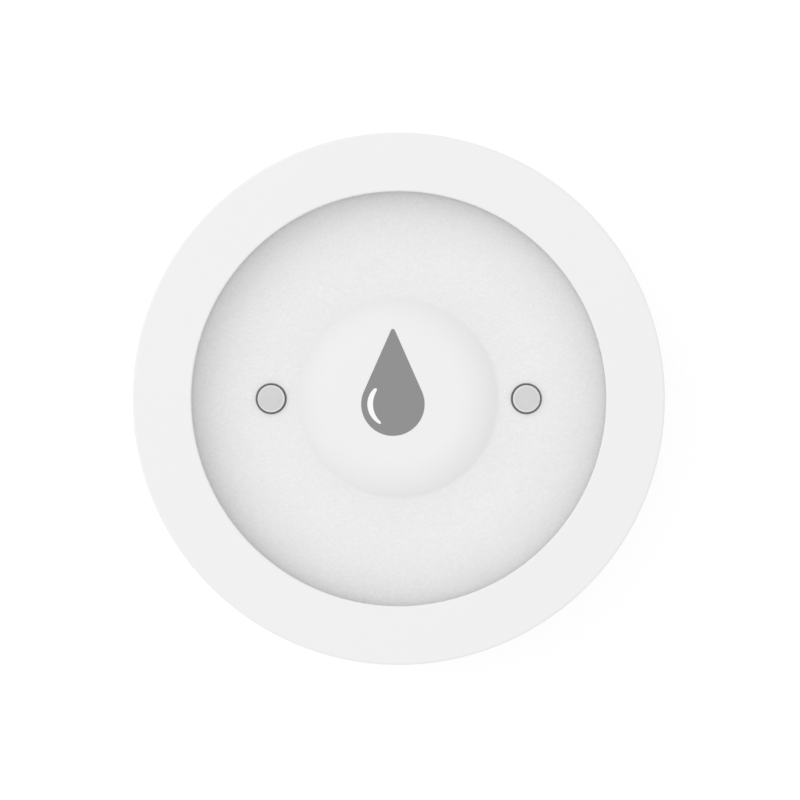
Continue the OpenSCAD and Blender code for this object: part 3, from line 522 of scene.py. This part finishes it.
def grained(name):
    """The dish's grained plastic, with painted shade in its corner under the lip, round the button's foot and round
    the contacts.
    """
    made = moulded(name, colours().dish, roughness=0.55, grain=0.3 * MM, contrast=0.076, depth=0.02 * MM, specks=0.075)
    # painted shade: the dish floor darkens towards its wall, round the button's foot and round each contact
    paint_shade(made, shade_from=17.5 * MM, corner=25.7 * MM, veil=0.004, edge=0.045, line=0.22)
    paint_shade(made, shade_from=17.5 * MM, corner=12.3 * MM, veil=0.028)
    return paint_shade(made, shade_from=2.6 * MM, corner=1.9 * MM, veil=0.045, pair=middle_x("drip_contact_right"))


def silicone(name):
    """The button's soft matt silicone: a faint velvet sheen, and painted shade that darkens it towards its foot."""
    made = moulded(name, colours().button, roughness=0.6, grain=0.3 * MM, contrast=0.012, depth=0.004 * MM)
    shader = made.node_tree.nodes["Principled BSDF"]
    shader.inputs["Sheen Weight"].default_value = 0.05
    shader.inputs["Sheen Roughness"].default_value = 0.4
    # painted shade on the button's shoulder, darker towards its foot
    return paint_shade(made, shade_from=7 * MM, corner=12.5 * MM, veil=0.013, edge=0.02, line=0.03)


def mark_metal(tree, shader, lines, colour, roughness, contrast):
    """Makes a shader metal with tool lines."""
    effect = add(tree, "ShaderNodeGroup", {
        "Lines": lines, "Colour": colour, "Roughness": roughness, "Contrast": contrast},
        node_tree=lines_group()).outputs
    feed(tree, shader, effect, TOOL_DEPTH)
    shader.inputs["Metallic"].default_value = 1.0


def tooled(name, colour, roughness, contrast, stretch):
    """Metal with straight drawn lines: stretch gives the lines in a metre along X, Y and Z."""
    made, tree, shader = new_finish(name)
    spot = add(tree, "ShaderNodeTexCoord").outputs["Object"]
    lines = add(tree, "ShaderNodeMapping", {"Vector": spot, "Scale": stretch}).outputs[0]
    mark_metal(tree, shader, lines, (*colour, 1), roughness, contrast)
    return made


def lathed(name, colour, roughness, contrast):
    """Turned metal whose lines follow the share of the radius that the turned piece keeps, with a painted highlight
    that lightens the outer band where the bevel is.
    """
    made, tree, shader = new_finish(name)
    rings, highlight_start, highlight_end, highlight_gain = 16.0, 0.86, 0.9, 1.15
    share = add(tree, "ShaderNodeAttribute", attribute_name=SHARE_NAME).outputs["Fac"]
    lines = add(tree, "ShaderNodeCombineXYZ", {"X": maths(tree, "MULTIPLY", share, rings)}).outputs[0]
    # painted highlight: the colour is lighter on the outer band of each head
    painted_highlight = add(tree, "ShaderNodeMapRange", {
        "Value": share, "From Min": highlight_start, "From Max": highlight_end, "To Min": 0.0, "To Max": 1.0}).outputs[0]
    bright = [min(1, highlight_gain * c) for c in colour]
    mark_metal(tree, shader, lines, mixed(tree, painted_highlight, (*colour, 1), (*bright, 1)), roughness, contrast)
    return made


def lacquered(name):
    """Green lacquered board with lighter tracks and tinned dots."""
    made, tree, shader = new_finish(name)
    pitch, dot_core, dot_rim = 420.0, 0.13, 0.17
    lacquer, track, tin = (0.02, 0.16, 0.07, 1), (0.05, 0.3, 0.13, 1), (0.66, 0.64, 0.58, 1)
    roughness, track_polish, relief = 0.45, -0.1, 0.03 * MM
    spot = add(tree, "ShaderNodeTexCoord").outputs["Object"]
    tracks = add(tree, "ShaderNodeTexBrick", {
        "Vector": spot, "Scale": pitch, "Mortar Size": 0.07, "Mortar Smooth": 0.3, "Brick Width": 1.7,
        "Row Height": 0.5}, offset=0.37).outputs["Fac"]
    cells = add(tree, "ShaderNodeTexVoronoi", {"Vector": spot, "Scale": pitch}).outputs["Distance"]
    dots = add(tree, "ShaderNodeMapRange", {
        "Value": cells, "From Min": dot_core, "From Max": dot_rim, "To Min": 1.0, "To Max": 0.0}).outputs[0]
    green = mixed(tree, tracks, lacquer, track)
    tree.links.new(mixed(tree, dots, green, tin), shader.inputs["Base Color"])
    tree.links.new(dots, shader.inputs["Metallic"])
    tree.links.new(maths(tree, "MULTIPLY_ADD", tracks, track_polish, roughness), shader.inputs["Roughness"])
    bump = add(tree, "ShaderNodeBump", {"Height": maths(tree, "ADD", tracks, dots), "Distance": relief})
    tree.links.new(bump.outputs[0], shader.inputs["Normal"])
    return made


def clear(name, colour, roughness):
    """Clear moulded plastic with a little haze."""
    made, tree, shader = new_finish(name)
    effect = add(tree, "ShaderNodeGroup", {
        "Colour": (*colour, 1), "Roughness": roughness, "Grain Size": 0.5 * MM, "Contrast": 0.02},
        node_tree=grain_group()).outputs
    feed(tree, shader, effect, depth=0.004 * MM)
    shader.inputs["Transmission Weight"].default_value = 1.0
    shader.inputs["IOR"].default_value = 1.49
    return made


FINISHES = {
    "shell_white": lambda n: moulded(
        n, colours().shell, roughness=0.42, grain=0.12 * MM, contrast=0.012, depth=0.004 * MM),
    "dish_white": grained,
    "dome_silicone": silicone,
    "sign_grey": lambda n: moulded(
        n, colours().sign, roughness=0.6, grain=0.15 * MM, contrast=0.04, depth=0.003 * MM),
    "sign_white": lambda n: moulded(
        n, colours().glint, roughness=0.6, grain=0.15 * MM, contrast=0.01, depth=0.003 * MM),
    "guide_clear": lambda n: clear(n, (0.85, 0.9, 0.92), roughness=0.15),
    "plunger_grey": lambda n: moulded(
        n, (0.6, 0.6, 0.6), roughness=0.45, grain=0.15 * MM, contrast=0.03, depth=0.006 * MM),
    "chip_black": lambda n: moulded(
        n, (0.03, 0.03, 0.03), roughness=0.5, grain=0.12 * MM, contrast=0.25, depth=0.008 * MM),
    "contact_steel": lambda n: lathed(n, colours().steel, roughness=0.34, contrast=0.14),
    "seal_rubber": lambda n: moulded(
        n, colours().seal, roughness=0.7, grain=0.1 * MM, contrast=0.2, depth=0.006 * MM),
    "foot_rubber": lambda n: moulded(
        n, colours().foot, roughness=0.75, grain=0.15 * MM, contrast=0.1, depth=0.012 * MM),
    "nut_brass": lambda n: tooled(n, (0.7, 0.55, 0.25), roughness=0.3, contrast=0.12, stretch=(500, 500, 9000)),
    "spring_wire": lambda n: tooled(n, (0.55, 0.55, 0.56), roughness=0.3, contrast=0.12, stretch=(4000, 4000, 4000)),
    "board_green": lacquered,
    "shield_tin": lambda n: tooled(n, (0.6, 0.6, 0.6), roughness=0.35, contrast=0.1, stretch=(300, 7000, 7000)),
    "led_ivory": lambda n: moulded(
        n, (0.8, 0.78, 0.65), roughness=0.3, grain=0.15 * MM, contrast=0.03, depth=0.003 * MM),
    "screw_steel": lambda n: tooled(n, (0.55, 0.55, 0.55), roughness=0.32, contrast=0.12, stretch=(900, 900, 9000)),
    "cell_steel": lambda n: tooled(n, (0.66, 0.66, 0.66), roughness=0.28, contrast=0.1, stretch=(5000, 260, 5000)),
}


def finish(name):
    """The finish for a slot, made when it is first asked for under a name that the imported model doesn't use."""
    own_name = "finish_" + name
    return bpy.data.materials.get(own_name) or FINISHES[name](own_name)


def dress(*nodes):
    """Gives solids the finish of their own slot in the record."""
    slots = {row["node"]: row["material_slot"] for row in frame["record"]["subparts"]}
    for node in nodes:
        solid = frame["nodes"][node]
        solid.data.materials.clear()
        solid.data.materials.append(finish(slots[node]))


def settle(piece, body, slot, *nodes):
    """A finished piece rides on its body and stands for solids."""
    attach(piece, body)
    if nodes:
        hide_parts(*nodes)


# Pieces

class SENSOR_OT_case(bpy.types.Operator):
    """Finishes the shell, the base plate, their seal and their screws"""
    bl_idname = "sensor.case"
    bl_label = "Case"
    bl_options = {"REGISTER", "UNDO"}

    def execute(self, context):
        dress("top_shell", "base_plate", "case_seal", "case_screws")
        return {"FINISHED"}


class SENSOR_OT_dish(bpy.types.Operator):
    """Finishes the grained drip dish"""
    bl_idname = "sensor.dish"
    bl_label = "Drip dish"
    bl_options = {"REGISTER", "UNDO"}

    def execute(self, context):
        dress("drip_dish")
        return {"FINISHED"}


def shoulder_bend(size):
    """Radius of the shoulder that falls from the button's flat top to the dish floor."""
    width = (size.button_width - size.button_flat) / 2
    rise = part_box("button_dome")[1].z - size.dish_floor
    return (width ** 2 + rise ** 2) / (2 * rise)


class SENSOR_OT_button(bpy.types.Operator):
    """Turns the soft test button's skin, with its neck in the dish"""
    bl_idname = "sensor.button"
    bl_label = "Test button"
    bl_options = {"REGISTER", "UNDO"}

    def execute(self, context):
        size = context.scene.sensor_sizes
        low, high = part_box("button_dome")
        wide, flat = size.button_width / 2, size.button_flat / 2
        bend = shoulder_bend(size)
        inner = wide - size.button_neck
        inner_bend = bend - size.button_skin
        inner_foot = 90 - math.degrees(math.asin((inner - flat) / inner_bend))
        middle = (flat, high.z - bend)
        rim_under = size.dish_floor + RIM_GAP
        foot_z = size.dish_floor + size.button_rim + size.button_foot
        foot_r = flat + math.sqrt((bend + size.button_foot) ** 2 - (foot_z - middle[1]) ** 2)
        meet = math.degrees(math.atan2(foot_z - middle[1], foot_r - flat))
        outline = [(0, high.z), (flat / 2, high.z)]
        outline += arc(middle, bend, 90, meet, steps=20)
        outline += arc((foot_r, foot_z), size.button_foot, 180 + meet, 270, steps=10)[1:]
        outline += eased([
            (foot_r, rim_under, 0), (wide, rim_under, 0), (wide, size.dish_under, 0),
            (high.x, size.dish_under, size.flange_round), (high.x, low.z, size.flange_round), (inner, low.z, 0)],
            steps=3)
        outline += arc(middle, inner_bend, inner_foot, 90, steps=12)
        outline += [(0, high.z - size.button_skin)]
        skin = turned("button_skin", outline, "dome_silicone", size.sides)
        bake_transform(skin)
        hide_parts("button_dome")
        return {"FINISHED"}


def crescent(middle, bulb):
    """Outline of the drop's glint: widest at the left of the drop, narrower to both ends."""
    first, last, steps = 136, 238, 48
    way, half_width, widest = 0.717 * bulb, 0.09 * bulb, 0.43
    upper_loss, lower_loss, lower_power = 0.5, 0.6, 1.7
    upper_end, lower_end, blunt = 0.06, 0.02, 0.01
    outer, inner = [], []
    for i in range(steps + 1):
        share = i / steps
        turn = math.radians(first + (last - first) * share)
        if share < widest:
            taper = 1 - upper_loss * ((widest - share) / widest) ** 2
        else:
            taper = 1 - lower_loss * ((share - widest) / (1 - widest)) ** lower_power
        ends = min(1, share / upper_end, (1 - share) / lower_end)
        half = half_width * taper * math.sqrt(max(blunt, 1 - (1 - ends) ** 2))
        for reach, line in ((way + half, outer), (way - half, inner)):
            line.append((middle[0] + reach * math.cos(turn), middle[1] + reach * math.sin(turn)))
    return outer + inner[::-1]


class SENSOR_OT_sign(bpy.types.Operator):
    """Prints the drop sign and its glint on the button"""
    bl_idname = "sensor.sign"
    bl_label = "Drop sign"
    bl_options = {"REGISTER", "UNDO"}

    def execute(self, context):
        size = context.scene.sensor_sizes
        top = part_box("button_dome")[1].z
        bulb, tip = size.sign_width / 2, size.sign_tip
        tip_rise = size.sign_height - bulb - tip
        lean = math.degrees(math.asin((bulb - tip) / tip_rise))
        middle = (-size.sign_left, -size.sign_down)
        outline = arc(middle, bulb, 180 - lean, 360 + lean, steps=72)
        outline += arc((middle[0], middle[1] + tip_rise), tip, lean, 180 - lean, steps=16)
        bend, flat = shoulder_bend(size), size.button_flat / 2

        def sag(radius):
            return bend - math.sqrt(bend ** 2 - max(0, radius - flat) ** 2)

        drop = printed("drop_sign", outline, top - size.ink, top + size.ink, "sign_grey", sag)
        settle(drop, "test_button", "plunger_grey")
        glint = printed("drop_glint", crescent(middle, bulb), top, top + size.glint_ink, "sign_white", sag)
        settle(glint, "test_button", "dome_silicone")
        return {"FINISHED"}


class SENSOR_OT_contacts(bpy.types.Operator):
    """Turns the two drip contacts and the dark seals round them"""
    bl_idname = "sensor.contacts"
    bl_label = "Drip contacts"
    bl_options = {"REGISTER", "UNDO"}

    def execute(self, context):
        size = context.scene.sensor_sizes
        low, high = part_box("drip_contact_right")
        circle = middle_x("drip_contact_right")
        seal_low, seal_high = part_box("contact_seals")
        head, bevel, shank, edge = high.x - circle, size.contact_bevel, size.contact_shank / 2, size.contact_edge
        heads = turned("contact_heads", eased([
            (0, high.z, 0), (head - bevel, high.z, edge), (head, high.z - size.contact_bevel_height, edge),
            (head, seal_low.z, 0), (shank, seal_low.z, 0), (shank, low.z, edge), (0, low.z, 0)], steps=4),
            "contact_steel", size.head_sides, copies=2, circle=circle)
        settle(heads, "housing", "contact_steel", "drip_contact_left", "drip_contact_right")
        inner, outer = head + size.seal_gap, seal_high.x - circle
        lip = outer + size.seal_lip
        lip_top, lip_under = size.dish_floor + size.seal_lip_height, size.dish_floor + RIM_GAP
        rings = turned("contact_rings", eased([
            (inner, seal_low.z, 0), (inner, seal_high.z, 0), (outer, lip_top, size.seal_hollow),
            (lip, lip_top, size.seal_edge), (lip, lip_under, 0), (outer, lip_under, 0), (outer, seal_low.z, 0),
            (inner, seal_low.z, 0)], steps=4), "seal_rubber", size.head_sides, copies=2, circle=circle)
        settle(rings, "housing", "seal_rubber", "contact_seals")
        dress("contact_nuts")
        return {"FINISHED"}


class SENSOR_OT_probes(bpy.types.Operator):
    """Turns the two floor probes under the case"""
    bl_idname = "sensor.probes"
    bl_label = "Floor probes"
    bl_options = {"REGISTER", "UNDO"}

    def execute(self, context):
        size = context.scene.sensor_sizes
        low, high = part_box("floor_probe_right")
        circle = middle_x("floor_probe_right")
        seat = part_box("probe_seals")[0].z
        head, bevel, shank, edge = high.x - circle, size.probe_bevel, size.probe_shank / 2, size.probe_edge
        heads = turned("probe_heads", eased([
            (0, high.z, 0), (shank, high.z, edge), (shank, seat, 0), (head, seat, edge), (head, low.z + bevel, edge),
            (head - bevel, low.z, edge), (0, low.z, 0)], steps=4),
            "contact_steel", size.head_sides, copies=2, circle=circle)
        settle(heads, "housing", "contact_steel", "floor_probe_left", "floor_probe_right")
        dress("probe_seals", "probe_nuts")
        return {"FINISHED"}


class SENSOR_OT_feet(bpy.types.Operator):
    """Moulds the three rubber feet"""
    bl_idname = "sensor.feet"
    bl_label = "Rubber feet"
    bl_options = {"REGISTER", "UNDO"}

    def execute(self, context):
        size = context.scene.sensor_sizes
        low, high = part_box("foot_pads")
        wide = size.foot_width / 2
        feet = turned("rubber_feet", eased([
            (0, high.z, 0), (wide, high.z, 0), (wide, low.z, size.foot_round), (0, low.z, 0)], steps=8),
            "foot_rubber", size.foot_sides, copies=3, circle=-low.y - wide, first=math.radians(30))
        settle(feet, "housing", "foot_rubber", "foot_pads")
        return {"FINISHED"}


class SENSOR_OT_springs(bpy.types.Operator):
    """Winds the springs between the board and the contacts and probes"""
    bl_idname = "sensor.springs"
    bl_label = "Springs"
    bl_options = {"REGISTER", "UNDO"}

    def execute(self, context):
        size = context.scene.sensor_sizes
        wire = size.spring_wire / 2
        for name, node, stud in (("contact_coils", "contact_springs", "drip_contact_right"),
                                 ("probe_coils", "probe_springs", "floor_probe_right")):
            low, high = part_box(node)
            circle = middle_x(stud)
            coils = made_by(spring_tree(), name, {
                "Turns": size.spring_turns, "Coil Radius": high.x - circle - wire, "Wire Radius": wire,
                "Bottom": low.z + wire, "Rise": high.z - low.z - 2 * wire, "Copies": 2, "Circle Radius": circle,
                "First Angle": 0.0, "Finish": finish("spring_wire")})
            settle(coils, "housing", "spring_wire", node)
        return {"FINISHED"}


class SENSOR_OT_door(bpy.types.Operator):
    """Finishes the coin-turn battery door and its seal"""
    bl_idname = "sensor.door"
    bl_label = "Battery door"
    bl_options = {"REGISTER", "UNDO"}

    def execute(self, context):
        dress("battery_door", "door_seal")
        return {"FINISHED"}


class SENSOR_OT_works(bpy.types.Operator):
    """Finishes the board and what is on it, the switch, the plunger, the guide and the coin cell"""
    bl_idname = "sensor.works"
    bl_label = "Inner works"
    bl_options = {"REGISTER", "UNDO"}

    def execute(self, context):
        dress("button_guide", "button_plunger", "switch_base", "switch_cap", "circuit_board", "radio_module",
              "radio_shield", "board_chips", "status_led", "board_screws", "cell_holder", "coin_cell", "cell_spring",
              "cell_clip")
        return {"FINISHED"}


# Stage

def seen(tree):
    """1 for rays that show the surroundings themselves or in metal and glass, 0 for rays that light the object."""
    rays = add(tree, "ShaderNodeLightPath").outputs
    shown = maths(tree, "MAXIMUM", rays["Is Camera Ray"], rays["Is Glossy Ray"])
    return maths(tree, "MAXIMUM", shown, rays["Is Transmission Ray"])


def white_floor():
    """A white floor under the feet, clear from below: it glows softly, and a little more where it is seen."""
    left, right, near, far, height = -3, 3, -2, 4, -0.2 * MM
    glow_on_object, glow_seen = 0.35, 0.26
    corners = ((left, near), (right, near), (right, far), (left, far))
    mesh = bpy.data.meshes.new("floor")
    mesh.from_pydata([(x, y, height) for x, y in corners], [], [(0, 1, 2, 3)])
    paint = bpy.data.materials.new("floor_white")
    paint.use_nodes = True
    paint.cycles.emission_sampling = "NONE"
    tree = paint.node_tree
    tree.nodes.clear()
    lit = add(tree, "ShaderNodeBsdfDiffuse", {"Color": (0.45, 0.45, 0.45, 1)}).outputs[0]
    glow = add(tree, "ShaderNodeEmission", {
        "Strength": maths(tree, "MULTIPLY_ADD", seen(tree), glow_seen, glow_on_object)}).outputs[0]
    top = add(tree, "ShaderNodeAddShader", {0: lit, 1: glow}).outputs[0]
    under = add(tree, "ShaderNodeBsdfTransparent").outputs[0]
    side = add(tree, "ShaderNodeNewGeometry").outputs["Backfacing"]
    both = add(tree, "ShaderNodeMixShader", {0: side, 1: top, 2: under}).outputs[0]
    add(tree, "ShaderNodeOutputMaterial", {"Surface": both})
    mesh.materials.append(paint)
    show("floor", mesh)


def white_surroundings(context):
    """Even light from all round, and plain white where it is seen."""
    world = bpy.data.worlds.new("studio")
    world.use_nodes = True
    tree = world.node_tree
    tree.nodes.clear()
    fill = add(tree, "ShaderNodeBackground", {"Color": (1, 1, 1, 1), "Strength": 0.912}).outputs[0]
    white = add(tree, "ShaderNodeBackground", {"Color": (1, 1, 1, 1), "Strength": 1.0}).outputs[0]
    both = add(tree, "ShaderNodeMixShader", {0: seen(tree), 1: fill, 2: white}).outputs[0]
    add(tree, "ShaderNodeOutputWorld", {"Surface": both})
    context.scene.world = world


def soft_light(name, place, width, power):
    """A soft lamp that looks at the middle of the object."""
    lamp = bpy.data.lights.new(name, "AREA")
    lamp.shape = "DISK"
    lamp.size = width
    lamp.energy = power
    made = show(name, lamp)
    made.location = place
    made.rotation_euler = made.location.to_track_quat("Z", "Y").to_euler()
    made.visible_camera = False
    made.visible_glossy = False


def camera_above(context):
    """A camera square above the drip face."""
    view_width, right, back = 97.59 * MM, 0.1525 * MM, -0.1586 * MM
    lens = bpy.data.cameras.new("camera")
    lens.lens = 120
    lens.sensor_width = 36
    lens.clip_start = 0.01
    lens.clip_end = 20
    made = show("camera", lens)
    made.location = (right, back, cad_box[1].z + view_width * lens.lens / lens.sensor_width)
    context.scene.camera = made
    context.scene.view_settings.view_transform = "Standard"


class SENSOR_OT_stage(bpy.types.Operator):
    """Sets the floor, the soft light and the camera square above the drip face"""
    bl_idname = "sensor.stage"
    bl_label = "Stage"
    bl_options = {"REGISTER", "UNDO"}

    def execute(self, context):
        white_floor()
        white_surroundings(context)
        soft_light("key", place=(-0.465, 0.247, 0.397), width=0.7, power=0.75)
        camera_above(context)
        return {"FINISHED"}


OPERATORS = (
    SENSOR_OT_case, SENSOR_OT_dish, SENSOR_OT_button, SENSOR_OT_sign, SENSOR_OT_contacts, SENSOR_OT_probes,
    SENSOR_OT_feet, SENSOR_OT_springs, SENSOR_OT_door, SENSOR_OT_works, SENSOR_OT_stage)


class SENSOR_PT_pieces(bpy.types.Panel):
    """Lists the sensor's sizes, colours and pieces"""
    bl_idname = "SENSOR_PT_pieces"
    bl_label = "Leak Sensor"
    bl_space_type = "VIEW_3D"
    bl_region_type = "UI"
    bl_category = "Leak Sensor"

    def draw(self, context):
        for group in (context.scene.sensor_sizes, context.scene.sensor_colours):
            column = self.layout.column(align=True)
            for name in group.bl_rna.properties.keys():
                if name not in ("rna_type", "name"):
                    column.prop(group, name)
        column = self.layout.column(align=True)
        for operator in OPERATORS:
            column.operator(operator.bl_idname)


CLASSES = (SensorSizes, SensorColours, *OPERATORS, SENSOR_PT_pieces)


def register():
    """Adds the classes and their settings."""
    for entry in CLASSES:
        bpy.utils.register_class(entry)
    bpy.types.Scene.sensor_sizes = PointerProperty(type=SensorSizes)
    bpy.types.Scene.sensor_colours = PointerProperty(type=SensorColours)


def unregister():
    """Takes the classes and their settings away."""
    del bpy.types.Scene.sensor_colours
    del bpy.types.Scene.sensor_sizes
    for entry in reversed(CLASSES):
        bpy.utils.unregister_class(entry)


def main():
    """Registers the classes and makes every piece in order."""
    register()
    for operator in OPERATORS:
        group, name = operator.bl_idname.split(".")
        getattr(getattr(bpy.ops, group), name)()


if __name__ == "__main__":
    main()
